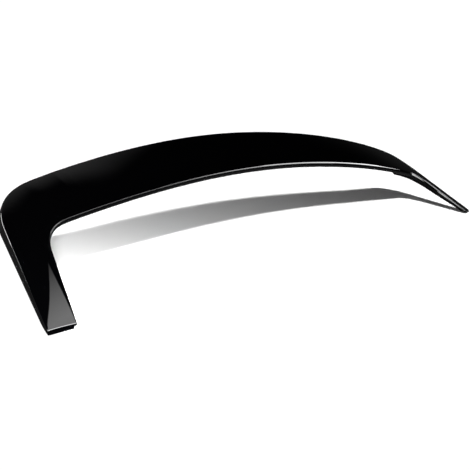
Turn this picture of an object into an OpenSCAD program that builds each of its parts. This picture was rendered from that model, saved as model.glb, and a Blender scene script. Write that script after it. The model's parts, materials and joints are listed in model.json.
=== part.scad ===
// Roof spoiler for a hatchback or estate car, moulded in one piece: a crowned blade, a trailing lip,
// two rounded corners and two tapering legs. The back is open, with bonding lands and cross ribs.
// X runs across the car, Y points to the front, Z points up, and the legs' undersides lie on Z = 0.

/* [Overall] */
// Width over the two leg ends
overall_w = 1180; // [900:10:1400]
// Width of the blade from front edge to trailing edge, on the centre line
chord = 86; // [60:1:140]

/* [Front edge] */
// Height of the front edge at the middle
front_h = 55.5; // [40:0.5:80]
// How far the front edge sweeps back from the middle to the corners
front_sweep = 68; // [30:1:100]
// Height of the front edge where it meets the leg
front_corner_h = 15; // [10:0.5:22]
// Length of the rounding along each side of the outer corner
outer_round = 58; // [30:1:80]
// Thickness of the front edge
front_t = 4.5; // [3.5:0.1:7]

/* [Trailing edge] */
// Height of the trailing edge at the middle
trailing_h = 41; // [30:0.5:60]
// How far the trailing edge sweeps back from the middle to the corners
trailing_sweep = 51.5; // [20:0.5:80]
// Height of the trailing edge where it meets the leg
trailing_corner_h = 18.5; // [13:0.5:26]
// Length of the rounding along each side of the inner corner
inner_round = 39; // [15:1:60]
// Depth of the trailing lip at the middle
lip_depth = 11; // [8:0.1:13]
// Depth of the trailing lip at the corners
lip_corner_depth = 10.3; // [7:0.1:11]
// How far the crease stands out of the trailing face
crease_out = 1.1; // [0.2:0.1:2]
// How far the foot of the trailing face is set in under its crest
undercut = 0.8; // [0.4:0.1:2]

/* [Legs] */
// Length of each leg, from the inner corner to its end
leg_len = 139; // [80:1:220]
// Distance across the leg between the inner and outer corners
leg_root_w = 32; // [24:1:50]
// How far the outer edge of the leg runs outward on its way to the end
leg_splay = 39; // [0:1:70]
// Width of the leg at its end
leg_end_w = 33; // [28:1:50]
// Height of the inner edge at the end of the leg
end_inner_h = 8; // [6:0.1:12]
// Height of the outer edge at the end of the leg
end_outer_h = 5; // [4.6:0.1:6]
// Height of the sloping face at the end of the leg
end_face_h = 4.2; // [3:0.1:4.5]
// How much further back the inner edge ends than the outer edge
end_skew = 5.5; // [0:0.5:12]
// How far the foot of the outer wall stands out at the corner
side_flare = 1; // [0:0.1:2]
// How far the foot is set in under the lip at the corners
corner_inset = 14; // [8:0.5:18]
// How far the foot is set in under the inner edge of the leg
leg_inset = 4; // [3.6:0.1:8]

/* [Shell] */
// Thickness of the skin over the open back
skin = 2.8; // [2:0.1:4]
// Width of the bonding land round the open back
land_w = 8; // [5:0.5:9]
// Thickness of the cross ribs
rib_t = 2.4; // [1.6:0.1:4]
// Number of open bays in each half of the blade
blade_bays = 6; // [3:1:9]
// Number of open bays in each leg
leg_bays = 2; // [1:1:4]
// Solid length at the end of each leg
end_solid = 16; // [8:1:24]

/* [Edges] */
// Radius of the crest along the trailing edge and the inner side of the legs
crest_r = 2; // [1:0.1:3]
// Radius of the edge along the front and the outer side of the legs
edge_r = 1.2; // [0.8:0.1:2]
// Rise of the top surface over a straight line from edge to edge
camber = 1.6; // [0:0.1:4]
// The same rise at the ends of the legs, which are almost flat
end_camber = 0.3; // [0:0.1:2]

/* [Hidden] */

// Where the plan view's corners and leg ends lie, before the corners are rounded
outer_corner_x = overall_w / 2 - leg_splay;
inner_corner_x = outer_corner_x - leg_root_w;
end_y = -trailing_sweep - leg_len;
front_corner = [outer_corner_x, chord - front_sweep, front_corner_h];
trailing_corner = [inner_corner_x, -trailing_sweep, trailing_corner_h];
outer_end = [overall_w / 2, end_y + end_skew, end_outer_h];
inner_end = [overall_w / 2 - leg_end_w, end_y, end_inner_h];

// The end of a leg slopes: it runs back by this much for each millimetre down
end_rake = 0.8;

// How far from the end of the leg the underside starts to rise
end_relief = 7;

// Draft of the walls of each open bay, as a distance on the land
draft = 0.9;
// Chamfer along the bottom edges
foot_chamfer = 0.7;
// Depth of the crease below the crest, as a share of the lip
crease_share = 0.45;

// Stretches of each half, from the middle of the blade to the end of the leg: the blade runs from 0 to 1,
// the corner from 1 to 2 and the leg from 2 to 3
blade_run = inner_corner_x - inner_round;
leg_run = norm([outer_end.x - outer_corner_x, outer_end.y - front_corner.y]) - outer_round;
// Where the foot steps down from the lip, how long the rounded step is, how high the foot is just past it,
// and where it has sunk to Z = 0
step_start = 0.915;
step_len = 9;
step_end = step_start + step_len / blade_run;
step_foot_h = 5;
foot_end = 1.1;
// Where the thin front edge starts to deepen into the outer wall, and where the wall reaches Z = 0
wall_start = 0.72;
wall_end = 1.2;

function mix(a, b, t) = a + (b - a) * t;
function clamp(x) = min(max(x, 0), 1);
function ease(a, b, x) = let (t = clamp((x - a) / (b - a))) t * t * (3 - 2 * t);
function bezier(a, b, c, t) = (1 - t) * (1 - t) * a + 2 * t * (1 - t) * b + t * t * c;

// Sweep back and fall of an edge between the middle, 0, and the corner, 1
function sweep_share(u) = (4 * u * u - pow(u, 4)) / 3;
function fall_share(u) = 0.4 * u * u + 0.6 * pow(u, 4);

function blade_edge(u, middle, corner) =
    [corner.x * u, mix(middle.y, corner.y, sweep_share(u)), mix(middle.z, corner.z, fall_share(u))];

// A point on an edge that runs along the blade, round the corner and down the leg
function rail(v, middle, corner, end, round_len) =
    let (on_blade = 1 - round_len / corner.x, on_leg = round_len / norm(end - corner))
    v <= 1 ? blade_edge(v * on_blade, middle, corner)
    : v <= 2 ? bezier(blade_edge(on_blade, middle, corner), corner, mix(corner, end, on_leg), v - 1)
    : mix(corner, end, mix(on_leg, 1, v - 2));

function inner_rail(v) = rail(v, [0, 0, trailing_h], trailing_corner, inner_end, inner_round);
function outer_rail(v) = rail(v, [0, chord, front_h], front_corner, outer_end, outer_round);

// Depth of the lip: it runs round the corner and fades out towards the end of the leg
function lip(v) = mix(mix(lip_depth, lip_corner_depth, ease(0, 1, v)), 0.5 * end_face_h, clamp(v - 2));
// Radius of the crest, and how far the crease stands out: both shrink where the lip gets too shallow for them
function crest_round(v) = min(crest_r, 0.3 * lip(v));
function crease(v) = min(crease_out, 0.15 * lip(v));
// How far the foot is set in under the lip
function inset(v) = mix(corner_inset, leg_inset, ease(1, 2, v));
// Height of the foot under the lip, and of the underside at the outer edge: at the end of the leg both rise
// to the foot of the sloping face
function inner_foot(v, crest_z) =
    v >= 3 ? crest_z - end_face_h
    : mix(crest_z - lip(v), mix(step_foot_h, 0, ease(step_end, foot_end, v)), ease(step_start, step_end, v));
function outer_foot(v, crest_z) =
    v >= 3 ? crest_z - end_face_h : mix(crest_z - front_t, 0, ease(wall_start, wall_end, v));
// How far the foot of the outer wall stands out
function flare(v) = side_flare * ease(wall_start, wall_end, v) * (1 - clamp(v - 2));
// Rise of the top surface: it fades along the leg
function crown(v) = mix(camber, end_camber, clamp(v - 2));

// Quarter round from the direction of angle a0 to a1, about a centre, in the section's plane
arc_steps = 3;
function arc(centre, r, a0, a1) =
    [for (i = [0:arc_steps]) let (a = mix(a0, a1, i / arc_steps)) centre + r * [cos(a), sin(a)]];

// Shares of the width at which the top surface has its points
top_shares = [0.14, 0.27, 0.4, 0.53, 0.66, 0.79, 0.9];
ceiling_shares = [0, 0.33, 0.67, 1];

// One section through the part: points are [distance from the trailing crest, height], from the inner foot up
// its face and the lip, over the top, down the outer edge and back along the underside
function section(v, open, width, zi, zo) =
    let (
        lip_z = zi - lip(v),
        round_r = crest_round(v),
        inner_foot_z = inner_foot(v, zi),
        outer_foot_z = outer_foot(v, zo),
        foot_in = inset(v),
        foot_out = width + flare(v) - foot_chamfer,
        top_z = function (a) mix(zi, zo, a / width) + crown(v) * 4 * (a / width) * (1 - a / width),
        base_z = function (a) mix(inner_foot_z, outer_foot_z, (a - foot_in) / (foot_out - foot_in)),
        inner_face = [
            [foot_in + foot_chamfer, base_z(foot_in + foot_chamfer)],
            [foot_in, mix(inner_foot_z, lip_z, 0.05)],
            [foot_in - foot_chamfer, lip_z],
            [undercut + foot_chamfer, lip_z],
            [undercut, lip_z + foot_chamfer],
            [-crease(v), zi - crease_share * lip(v)]
        ],
        crest = arc([round_r, top_z(round_r) - round_r], round_r, 180, 90),
        top = [for (s = top_shares) let (a = mix(round_r, width - edge_r, s)) [a, top_z(a)]],
        edge = arc([width - edge_r, top_z(width - edge_r) - edge_r], edge_r, 90, 0),
        outer_side = [[width + flare(v), outer_foot_z + foot_chamfer], [foot_out, outer_foot_z]],
        inner_land = foot_in + foot_chamfer + land_w,
        outer_land = foot_out - land_w,
        a0 = inner_land + draft,
        a1 = outer_land - draft,
        ceiling = [for (i = [len(ceiling_shares) - 1:-1:0])
            let (a = mix(a0, a1, ceiling_shares[i]))
            [a, mix(base_z(a), max(base_z(a), top_z(a) - skin), open)]],
        underside = concat([[outer_land, base_z(outer_land)]], ceiling, [[inner_land, base_z(inner_land)]])
    )
    concat(inner_face, crest, top, edge, outer_side, underside);

// A section placed in space between its two edges; the end of the leg leans back by its rake
function ring(v, open) =
    let (
        inner = inner_rail(v),
        outer = outer_rail(v),
        across = [outer.x - inner.x, outer.y - inner.y],
        width = norm(across),
        dir = across / width,
        lean = v >= 3 ? end_rake : 0
    )
    [for (p = section(v, open, width, inner.z, outer.z))
        [inner.x + dir.x * p[0], inner.y + dir.y * p[0] - lean * (inner.z - p[1]), p[1]]];

// Stations of one open bay between two ribs: the ribs' faces are closed, what lies between them is open
function bay(v0, v1, run, inside) =
    let (half = rib_t / 2 / run, slope = draft / run)
    concat(
        [[v0 + half, 0], [v0 + half + slope, 1]],
        [for (i = [1:inside]) [mix(v0, v1, i / (inside + 1)), 1]],
        [[v1 - half - slope, 1], [v1 - half, 0]]
    );

blade_stops = [for (i = [0:blade_bays]) step_start * i / blade_bays];
leg_stop = 3 - end_solid / leg_run;
leg_stops = [for (i = [0:leg_bays]) mix(2, leg_stop, i / leg_bays)];
corner_run = (inner_round + outer_round) * 0.7;
step_stations = [for (i = [0:5]) [mix(step_start, step_end, i / 5), 0]];
half_stations = concat(
    [for (i = [1:blade_bays]) each bay(blade_stops[i - 1], blade_stops[i], blade_run, 3)],
    step_stations,
    [[step_end + rib_t / blade_run, 0], [step_end + (rib_t + draft) / blade_run, 1]],
    [for (i = [1:9]) [mix(step_end + 2 * rib_t / blade_run, 2, i / 10), 1]],
    [[2 - (rib_t / 2 + draft) / corner_run, 1], [2 - rib_t / 2 / corner_run, 0]],
    [for (i = [1:leg_bays]) each bay(leg_stops[i - 1], leg_stops[i], leg_run, 2)],
    [[3 - end_relief / leg_run, 0], [3, 0]]
);

function mirrored(points) = [for (p = points) [-p.x, p.y, p.z]];
function average(points) = [for (p = points) 1 / len(points)] * points;

module spoiler() {
    half = [for (s = half_stations) ring(s[0], s[1])];
    rings = concat([for (i = [len(half) - 1:-1:0]) mirrored(half[i])], half);
    count = len(rings);
    size = len(rings[0]);
    first_hub = count * size;
    points = concat([for (r = rings) each r], [average(rings[0]), average(rings[count - 1])]);
    at = function (i, j) i * size + j % size;
    sides = [for (i = [0:count - 2]) for (j = [0:size - 1])
        [at(i, j), at(i, j + 1), at(i + 1, j + 1), at(i + 1, j)]];
    left_end = [for (j = [0:size - 1]) [first_hub, at(0, j + 1), at(0, j)]];
    right_end = [for (j = [0:size - 1]) [first_hub + 1, at(count - 1, j), at(count - 1, j + 1)]];
    ys = [for (p = points) p.y];
    color([0.04, 0.04, 0.045])
        translate([0, -(min(ys) + max(ys)) / 2, 0])
        polyhedron(points = points, faces = concat(sides, left_end, right_end), convexity = 10);
}

spoiler();
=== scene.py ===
import json
import math

import bpy
from mathutils import Matrix, Vector

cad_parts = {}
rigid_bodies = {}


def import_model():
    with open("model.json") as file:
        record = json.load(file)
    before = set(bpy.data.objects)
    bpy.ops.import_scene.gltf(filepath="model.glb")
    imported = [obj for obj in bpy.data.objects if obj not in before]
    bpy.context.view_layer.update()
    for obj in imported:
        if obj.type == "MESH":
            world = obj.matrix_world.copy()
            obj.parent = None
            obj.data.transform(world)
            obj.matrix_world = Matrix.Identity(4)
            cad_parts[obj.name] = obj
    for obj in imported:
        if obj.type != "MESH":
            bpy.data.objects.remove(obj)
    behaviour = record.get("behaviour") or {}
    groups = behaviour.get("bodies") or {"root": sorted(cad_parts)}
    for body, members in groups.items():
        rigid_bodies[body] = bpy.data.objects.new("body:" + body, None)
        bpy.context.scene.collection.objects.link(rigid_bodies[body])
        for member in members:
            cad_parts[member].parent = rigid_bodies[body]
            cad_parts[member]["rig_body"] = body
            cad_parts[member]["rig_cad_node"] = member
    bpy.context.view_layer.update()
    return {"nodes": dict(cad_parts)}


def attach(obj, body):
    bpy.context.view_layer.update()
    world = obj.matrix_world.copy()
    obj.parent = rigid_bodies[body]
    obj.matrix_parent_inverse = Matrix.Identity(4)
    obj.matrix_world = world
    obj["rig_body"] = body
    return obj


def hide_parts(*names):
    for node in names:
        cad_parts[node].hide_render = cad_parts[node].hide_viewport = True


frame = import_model()
scene = bpy.context.scene
print("frame loaded")


# selection and placing

def clearSelection():
    if bpy.context.mode != "OBJECT":
        bpy.ops.object.mode_set(mode="OBJECT")
    bpy.ops.object.select_all(action="DESELECT")


def pick(piece):
    clearSelection()
    piece.select_set(True)
    bpy.context.view_layer.objects.active = piece


def turnTo(aim, up):
    # the rotation of a camera or lamp that looks along aim with up towards its top
    back = -Vector(aim).normalized()
    right = Vector(up).cross(back).normalized()
    return Matrix((right, back.cross(right), back)).transposed().to_euler()


# camera: at the photograph's viewing angle

cameraSetup = {
    "place": (-0.9130, -0.4576, 0.4527),
    "aim": (0.75356, 0.43676, -0.49130),
    "up": (0.13328, 0.63034, 0.76479),
    "lens": 46.684,
    "sensor": 36.0,
}


def addCamera(setup):
    clearSelection()
    bpy.ops.object.camera_add(location=setup["place"], rotation=turnTo(setup["aim"], setup["up"]))
    camera = bpy.context.object
    camera.name = "photoCamera"
    camera.data.sensor_width = setup["sensor"]
    camera.data.lens = setup["lens"]
    camera.data.clip_start = 0.01
    camera.data.clip_end = 50
    scene.camera = camera


addCamera(cameraSetup)
print("camera placed")


# shader maths: a Wire is one socket, and sums and products on it add Math nodes

class Wire:
    def __init__(self, paint, socket):
        self.paint = paint
        self.socket = socket

    def math(self, operation, *others):
        return self.paint.node("Math", {"operation": operation}, self, *others)

    def __add__(self, other):
        return self.math("ADD", other)

    def __sub__(self, other):
        return self.math("SUBTRACT", other)

    def __rsub__(self, other):
        return self.paint.node("Math", {"operation": "SUBTRACT"}, other, self)

    def __mul__(self, other):
        return self.math("MULTIPLY", other)

    def __truediv__(self, other):
        return self.math("DIVIDE", other)

    __radd__ = __add__
    __rmul__ = __mul__

    def clamp(self, low, high):
        # 0 at low and below, 1 at high and above, smooth between
        settings = {"interpolation_type": "SMOOTHSTEP", "clamp": True}
        return self.paint.node("MapRange", settings, self, low, high, 0.0, 1.0)


class Paint:
    def __init__(self, name, world=False):
        self.material = (bpy.data.worlds if world else bpy.data.materials).new(name)
        self.output = "OutputWorld" if world else "OutputMaterial"
        self.material.use_nodes = True
        self.tree = self.material.node_tree
        self.tree.nodes.clear()

    def node(self, kind, settings=None, *values, output=0, **named):
        made = self.tree.nodes.new("ShaderNode" + kind)
        for key, value in (settings or {}).items():
            if key == "stops":
                ramp = made.color_ramp
                while len(ramp.elements) < len(value):
                    ramp.elements.new(0.5)
                for element, (place, colour) in zip(ramp.elements, value):
                    element.position = place
                    element.color = colour
            else:
                setattr(made, key, value)
        for place, value in list(enumerate(values)) + list(named.items()):
            if value is None:
                continue
            socket = made.inputs[place if isinstance(place, int) else place.replace("_", " ")]
            if isinstance(value, Wire):
                self.tree.links.new(value.socket, socket)
            else:
                socket.default_value = value
        return Wire(self, made.outputs[output])

    def surface(self, shader):
        out = self.tree.nodes.new("ShaderNode" + self.output)
        self.tree.links.new(shader.socket, out.inputs["Surface"])
        return self.material


# the moulding: a refined copy of the solid, smooth enough for its gloss

moulding = {
    "mergeDistance": 0.00002,
    "quadAngle": 50,           # degrees; triangle pairs flatter and squarer than this become quads
    "sharpAngle": 32,          # degrees; edges sharper than this keep a tight round
    "edgeCrease": 0.55,
    "levels": 2,
    "shadeAngle": 38,
}


def refineMoulding(node, values):
    pick(node)
    bpy.ops.object.duplicate()
    shell = bpy.context.object
    shell.name = "mouldedShell"
    bpy.ops.object.parent_clear(type="CLEAR_KEEP_TRANSFORM")
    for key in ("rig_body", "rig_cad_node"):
        del shell[key]
    bpy.ops.object.mode_set(mode="EDIT")
    bpy.ops.mesh.select_mode(type="EDGE")
    bpy.ops.mesh.select_all(action="SELECT")
    bpy.ops.mesh.remove_doubles(threshold=values["mergeDistance"])
    limit = math.radians(values["quadAngle"])
    bpy.ops.mesh.tris_convert_to_quads(face_threshold=limit, shape_threshold=limit, topology_influence=1.0)
    bpy.ops.mesh.select_all(action="DESELECT")
    bpy.ops.mesh.edges_select_sharp(sharpness=math.radians(values["sharpAngle"]))
    bpy.ops.transform.edge_crease(value=values["edgeCrease"])
    bpy.ops.object.mode_set(mode="OBJECT")
    quads = sum(len(face.vertices) == 4 for face in shell.data.polygons)
    print("moulding faces", len(shell.data.polygons), "quads", quads)
    smooth = shell.modifiers.new("smooth", "SUBSURF")
    smooth.levels = smooth.render_levels = values["levels"]
    bpy.ops.object.modifier_apply(modifier=smooth.name)
    bpy.ops.object.shade_smooth_by_angle(angle=math.radians(values["shadeAngle"]))
    return shell


shell = refineMoulding(frame["nodes"]["spoiler"], moulding)
print("moulding refined", len(shell.data.polygons), "faces")


# finishes: deep black gloss outside, bare grained plastic on the hidden side

lacquer = {
    "black": (0.0003, 0.0003, 0.0004, 1.0),
    "specular": 0.5,
    "roughness": (0.018, 0.030),        # clearest and dullest patches of the gloss
    "patchScale": 9.0,
    "patchDetail": 2.0,
    "patchSpread": (0.35, 0.65),        # noise that gives the clearest and the dullest
    "peelScale": 170.0,                 # waves of orange peel to the metre
    "peelDetail": 1.0,
    "peelHeight": 0.000008,
}

plastic = {
    "black": (0.011, 0.011, 0.012, 1.0),
    "pale": (0.021, 0.021, 0.022, 1.0),
    "specular": 0.4,
    "roughness": (0.48, 0.62),          # in the black patches and in the pale ones
    "patchScale": 30.0,
    "patchDetail": 3.0,
    "patchSpread": (0.3, 0.7),
    "grainScale": 1500.0,
    "grainDetail": 2.0,
    "grainHeight": 0.00004,
}


def noise(paint, scale, detail):
    place = paint.node("TexCoord", output="Object")
    return paint.node("TexNoise", None, Vector=place, Scale=scale, Detail=detail)


def blackLacquer(values):
    paint = Paint("blackLacquer")
    clearest, dullest = values["roughness"]
    patch = noise(paint, values["patchScale"], values["patchDetail"]).clamp(*values["patchSpread"])
    peel = noise(paint, values["peelScale"], values["peelDetail"])
    waves = paint.node("Bump", None, Strength=1.0, Distance=values["peelHeight"], Height=peel)
    shader = paint.node("BsdfPrincipled", None, Base_Color=values["black"],
                        Specular_IOR_Level=values["specular"],
                        Roughness=patch * (dullest - clearest) + clearest, Normal=waves)
    return paint.surface(shader)


def barePlastic(values):
    paint = Paint("barePlastic")
    smoothest, roughest = values["roughness"]
    patch = noise(paint, values["patchScale"], values["patchDetail"]).clamp(*values["patchSpread"])
    grain = noise(paint, values["grainScale"], values["grainDetail"])
    relief = paint.node("Bump", None, Strength=1.0, Distance=values["grainHeight"], Height=grain)
    stops = ((0.0, values["black"]), (1.0, values["pale"]))
    colour = paint.node("ValToRGB", {"stops": stops}, patch)
    shader = paint.node("BsdfPrincipled", None, Base_Color=colour, Specular_IOR_Level=values["specular"],
                        Roughness=patch * (roughest - smoothest) + smoothest, Normal=relief)
    return paint.surface(shader)


# the bare side: faces that look down, and the walls inside the bays, which face another wall close by

bareSide = {
    "lookingDown": -0.5,       # faces whose normal is lower than this
    "bayWidth": 0.09,          # how close the facing wall is
    "lift": 0.0004,            # how far off its own face the search starts
}


def markBareSide(piece, values):
    count = 0
    for face in piece.data.polygons:
        start = face.center + face.normal * values["lift"]
        walled = piece.ray_cast(start, face.normal, distance=values["bayWidth"])[0]
        if face.normal.z < values["lookingDown"] or walled:
            face.material_index = 1
            count += 1
    print("bare faces", count, "of", len(piece.data.polygons))


shell.data.materials.clear()
shell.data.materials.append(blackLacquer(lacquer))
shell.data.materials.append(barePlastic(plastic))
markBareSide(shell, bareSide)
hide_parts("spoiler")
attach(shell, "root")
print("finishes done")


# stage: what the light paths and the place of a point say, and a flat sheet

def lightPath(paint):
    return (paint.node("LightPath", output=way) for way in ("Is Camera Ray", "Is Glossy Ray"))


def split(paint, vector):
    return (paint.node("SeparateXYZ", None, vector, output=axis) for axis in "XYZ")


def addSheet(name, size, middle):
    clearSelection()
    bpy.ops.mesh.primitive_plane_add(size=1, location=(0, 0, 0))
    sheet = bpy.context.object
    sheet.name = name
    bpy.ops.object.mode_set(mode="EDIT")
    bpy.ops.mesh.select_all(action="SELECT")
    bpy.ops.transform.resize(value=(*size, 1))
    bpy.ops.transform.translate(value=middle)
    bpy.ops.object.mode_set(mode="OBJECT")
    return sheet


# floor and background: a pale sheet that the leg ends rest on and that falls away under the blade

floorSetup = {
    "tilt": 18,                # degrees; the photograph's blade stands clear of its floor
    "contact": (-0.1325, -0.0004),      # Y and Z of the line under the leg ends
    "front": 0.05,             # how far the sheet reaches in front of that line
    "plain": (-0.572, 0.4),    # left of a line from this X there, leaning this much, it shows no shadow
    "fade": (0.025, -0.010),   # from shaded to plain, across that line
    "size": (6.0, 4.0),
    "colour": (1.0, 1.0, 1.0, 1.0),
    "white": 1.05,             # how bright its plain part and its underside are to the camera
    "mirrored": 0.08,          # how bright the floor shows in the lacquer
}


def addFloor(values):
    depth = values["size"][1]
    floor = addSheet("floor", values["size"], (0, depth / 2 - values["front"], 0))
    bpy.ops.object.mode_set(mode="EDIT")
    tilt = math.radians(values["tilt"])
    bpy.ops.transform.rotate(value=tilt, orient_axis="X", center_override=(0, 0, 0))
    bpy.ops.transform.translate(value=(0, *values["contact"]))
    bpy.ops.object.mode_set(mode="OBJECT")
    paint = Paint("paleFloor")
    seen, mirrored = lightPath(paint)
    under = paint.node("NewGeometry", output="Backfacing")
    x, y, z = split(paint, paint.node("NewGeometry", output="Position"))
    left, lean = values["plain"]
    plain = (x - left - (y - values["contact"][0]) * lean).clamp(*values["fade"])
    lit = paint.node("BsdfDiffuse", None, Color=values["colour"])
    white = paint.node("Emission", None, values["colour"], values["white"])
    dim = paint.node("Emission", None, values["colour"], values["mirrored"])
    shader = paint.node("MixShader", None, mirrored, lit, dim)
    shader = paint.node("MixShader", None, seen * under.math("MAXIMUM", plain), shader, white)
    floor.data.materials.append(paint.surface(shader))


addFloor(floorSetup)


# world: white to the camera, and for the lacquer a dark room with a soft glow in front of the corner

worldSetup = {
    "colour": (1.0, 1.0, 1.0, 1.0),
    "white": 1.05,             # a little over the top, so that it meets the floor unseen
    "ambient": 0.04,           # what lights the floor's shadow
    "glow": 0.30,
    "glowTop": (0.735, 0.665),      # height of a direction where the glow starts and where it is full
    "glowFoot": (-0.05, 0.10),      # the same from below
    "glowSide": (1.30, 0.55),       # the same for its x over y
    "glowFront": (0.0, 0.1),        # the same for its y
    "leastY": 0.02,                 # keeps x over y finite
    "haze": 0.02,
    "hazeTop": (0.45, 0.15),
}


def addWorld(values):
    room = Paint("studio", world=True)
    seen, mirrored = lightPath(room)
    x, y, z = split(room, room.node("TexCoord", output="Generated"))
    side = x / y.math("MAXIMUM", values["leastY"])
    glow = z.clamp(*values["glowTop"]) * z.clamp(*values["glowFoot"])
    glow = glow * side.clamp(*values["glowSide"]) * y.clamp(*values["glowFront"])
    haze = z.clamp(*values["hazeTop"]) * values["haze"]
    strength = mirrored * (glow * values["glow"] + haze) + (1 - mirrored) * values["ambient"]
    dark = room.node("Background", None, values["colour"], strength)
    white = room.node("Background", None, values["colour"], values["white"])
    room.surface(room.node("MixShader", None, seen, dark, white))
    scene.world = room.material


addWorld(worldSetup)


# lamps: a sun and a fill for the floor's shadow, and panels that only the lacquer mirrors

sunSetup = {
    "azimuth": 51,             # degrees, from +Y to +X
    "elevation": 68,
    "distance": 4,
    "top": (1, 0, 0.1),
    "strength": 3.7,
    "softness": 7,             # degrees across; blurs the edges of the shadow
}


def towards(azimuth, elevation):
    a, e = math.radians(azimuth), math.radians(elevation)
    return Vector((math.sin(a) * math.cos(e), math.cos(a) * math.cos(e), math.sin(e)))


def addSun(values):
    clearSelection()
    source = towards(values["azimuth"], values["elevation"])
    bpy.ops.object.light_add(type="SUN", location=source * values["distance"],
                             rotation=turnTo(-source, values["top"]))
    sun = bpy.context.object
    sun.name = "sun"
    sun.data.energy = values["strength"]
    sun.data.angle = math.radians(values["softness"])
    sun.visible_glossy = False


addSun(sunSetup)

# near the line of sight, so that its own shadows hide behind the left leg, where it fades the floor's shadow
fillSetup = {"place": (-0.718, -0.246, 0.243), "power": 20, "radius": 0.05}


def addFill(values):
    clearSelection()
    bpy.ops.object.light_add(type="POINT", location=values["place"])
    fill = bpy.context.object
    fill.name = "leftFill"
    fill.data.energy = values["power"]
    fill.data.shadow_soft_size = values["radius"]
    fill.visible_camera = fill.visible_glossy = False


addFill(fillSetup)

# each panel by the edge whose highlight it makes
panels = [
    {"name": "trailPanel",          # trailing crest of the blade
     "place": (2.393, -0.312, 1.392), "target": (0.2, 0.0, 0.03), "up": (0, 0, 1),
     "size": (1.83, 0.85), "glow": 9},
    {"name": "rearPanel",           # right leg, where it leaves the blade
     "place": (0.41, -0.54, 0.165), "target": (0.41, -0.06, 0.03), "up": (0, 0, 1),
     "size": (1.02, 0.13), "glow": 10},
    {"name": "leftPanel",           # right leg, down to its end
     "place": (-0.709, -0.689, 1.453), "target": (0.54, -0.08, 0.015), "up": (0, 0, 1),
     "size": (1.40, 0.95), "glow": 15},
    {"name": "legEndPanel",         # edge across the end of the left leg
     "place": (-0.505, -0.175, 0.15), "target": (-0.505, -0.175, 0.0), "up": (0, 1, 0),
     "size": (0.12, 0.09), "glow": 20},
    {"name": "cornerPanel",         # outer edge of the left leg, below the corner
     "place": (-0.70, 0.345, 0.12), "target": (0.0, 0.345, 0.12), "up": (0, 0, 1),
     "size": (0.36, 0.30), "glow": 14},
    {"name": "innerStrip",          # inner edge of the left leg
     "place": (-0.470, -0.044, 0.034), "target": (-0.542, -0.078, 0.012), "up": (0, 0, 1),
     "size": (0.105, 0.022), "glow": 1.6},
]


def addPanel(values):
    clearSelection()
    place = Vector(values["place"])
    aim = Vector(values["target"]) - place
    bpy.ops.object.light_add(type="AREA", location=place, rotation=turnTo(aim, values["up"]))
    lamp = bpy.context.object
    lamp.name = values["name"]
    lamp.data.shape = "RECTANGLE"
    lamp.data.size, lamp.data.size_y = values["size"]
    lamp.data.energy = values["glow"] * math.pi * lamp.data.size * lamp.data.size_y
    lamp.visible_camera = lamp.visible_diffuse = False


for panel in panels:
    addPanel(panel)


# a bright opening over the left leg: two edges that meet at a corner, brighter towards the leg's end

openingSetup = {
    "middle": (-0.50, -0.045, 0.15),
    "size": (0.20, 0.18),
    "corner": (-0.4695, 0.041),
    "leftEdge": (-0.60, -0.80),         # the way each edge runs from the corner
    "rightEdge": (0.0, -1.0),
    "edgeBlur": 0.002,
    "gradient": (0.045, -0.050),        # Y where the glow starts and where it is full
    "colour": (1.0, 1.0, 1.0, 1.0),
    "glow": 3.4,
}


def addOpening(values):
    sheet = addSheet("opening", values["size"], values["middle"])
    paint = Paint("opening")
    cornerX, cornerY = values["corner"]
    x, y, z = split(paint, paint.node("NewGeometry", output="Position"))
    x, y = x - cornerX, y - cornerY
    leftX, leftY = values["leftEdge"]
    rightX, rightY = values["rightEdge"]
    rightOfLeft = (y * leftX - x * leftY).clamp(0.0, values["edgeBlur"])
    leftOfRight = (x * rightY - y * rightX).clamp(0.0, values["edgeBlur"])
    start, full = values["gradient"]
    fall = (start - cornerY - y) / (start - full)
    glow = paint.node("Emission", None, values["colour"], values["glow"])
    shader = paint.node("MixShader", None, rightOfLeft * leftOfRight * fall,
                        paint.node("BsdfTransparent"), glow)
    sheet.data.materials.append(paint.surface(shader))
    sheet.visible_camera = sheet.visible_diffuse = sheet.visible_shadow = False


addOpening(openingSetup)

scene.view_settings.view_transform = "Standard"
print("stage and lights done")
